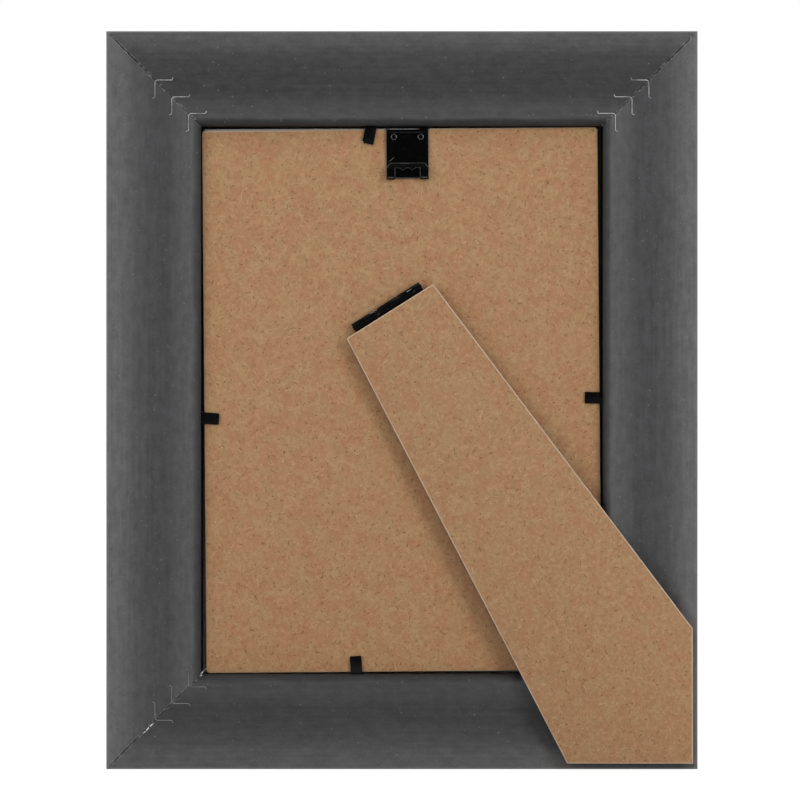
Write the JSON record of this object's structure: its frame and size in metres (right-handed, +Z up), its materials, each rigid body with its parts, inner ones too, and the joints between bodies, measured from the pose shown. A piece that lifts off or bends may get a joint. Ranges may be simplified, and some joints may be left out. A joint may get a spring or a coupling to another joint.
{
  "type": "picture frame",
  "caption": "Wide-moulding picture frame, open at the back, with a fibreboard back held by bendable tabs, a folded hanger and a hinged easel leg.",
  "frame": {"origin": "middle of the flat outer side of the bottom moulding, halfway between the moulding's front and rear planes, on the surface that the frame stands on", "axes": "+Z up, +Y out of the back of the frame, so that the picture faces -Y; +X is to the left as seen from behind"},
  "size_m": [0.1952, 0.0248, 0.2436],
  "materials": {
    "grey_foam_moulding": "matte",
    "fibreboard": "matte",
    "black_steel": "satin",
    "bright_steel": "satin",
    "clear_glass": "polished",
    "white_paper": "matte"
  },
  "bodies": {
    "frame": {"moulding_top": "grey_foam_moulding", "moulding_left": "grey_foam_moulding", "moulding_bottom": "grey_foam_moulding", "moulding_right": "grey_foam_moulding", "v_nail_top_left_1": "bright_steel", "v_nail_top_left_2": "bright_steel", "v_nail_top_left_3": "bright_steel", "v_nail_bottom_left_1": "bright_steel", "v_nail_bottom_left_2": "bright_steel", "v_nail_bottom_left_3": "bright_steel", "v_nail_bottom_right_1": "bright_steel", "v_nail_bottom_right_2": "bright_steel", "v_nail_bottom_right_3": "bright_steel", "v_nail_top_right_1": "bright_steel", "v_nail_top_right_2": "bright_steel", "v_nail_top_right_3": "bright_steel", "tab_root_top": "black_steel", "tab_root_left": "black_steel", "tab_root_bottom": "black_steel", "tab_root_right": "black_steel", "glass": "clear_glass", "paper_insert": "white_paper", "back_panel": "fibreboard", "hanger": "black_steel", "hanger_rivet_left": "bright_steel", "hanger_rivet_right": "bright_steel", "hinge_leaf_panel": "black_steel", "hinge_pin": "black_steel"},
    "leg": {"easel_leg": "fibreboard", "hinge_leaf_leg": "black_steel"},
    "tab_top": {"tab_blade_top": "black_steel"},
    "tab_left": {"tab_blade_left": "black_steel"},
    "tab_bottom": {"tab_blade_bottom": "black_steel"},
    "tab_right": {"tab_blade_right": "black_steel"}
  },
  "joints": [
    {"name": "leg_swing", "type": "hinge", "parent": "frame", "child": "leg", "pos_m": [0.0049, 0.00795, 0.1526], "axis": [0.8462, 0, -0.5329], "range_deg": [0, 30]},
    {"name": "tab_bend_top", "type": "hinge", "parent": "frame", "child": "tab_top", "pos_m": [0.0102, 0.0069, 0.212], "axis": [1, 0, 0], "range_deg": [0, 90]},
    {"name": "tab_bend_left", "type": "hinge", "parent": "frame", "child": "tab_left", "pos_m": [0.066, 0.0069, 0.1159], "axis": [0, 0, -1], "range_deg": [0, 90]},
    {"name": "tab_bend_bottom", "type": "hinge", "parent": "frame", "child": "tab_bottom", "pos_m": [0.015, 0.0069, 0.0316], "axis": [-1, 0, 0], "range_deg": [0, 90]},
    {"name": "tab_bend_right", "type": "hinge", "parent": "frame", "child": "tab_right", "pos_m": [-0.066, 0.0069, 0.1225], "axis": [0, 0, 1], "range_deg": [0, 90]}
  ]
}
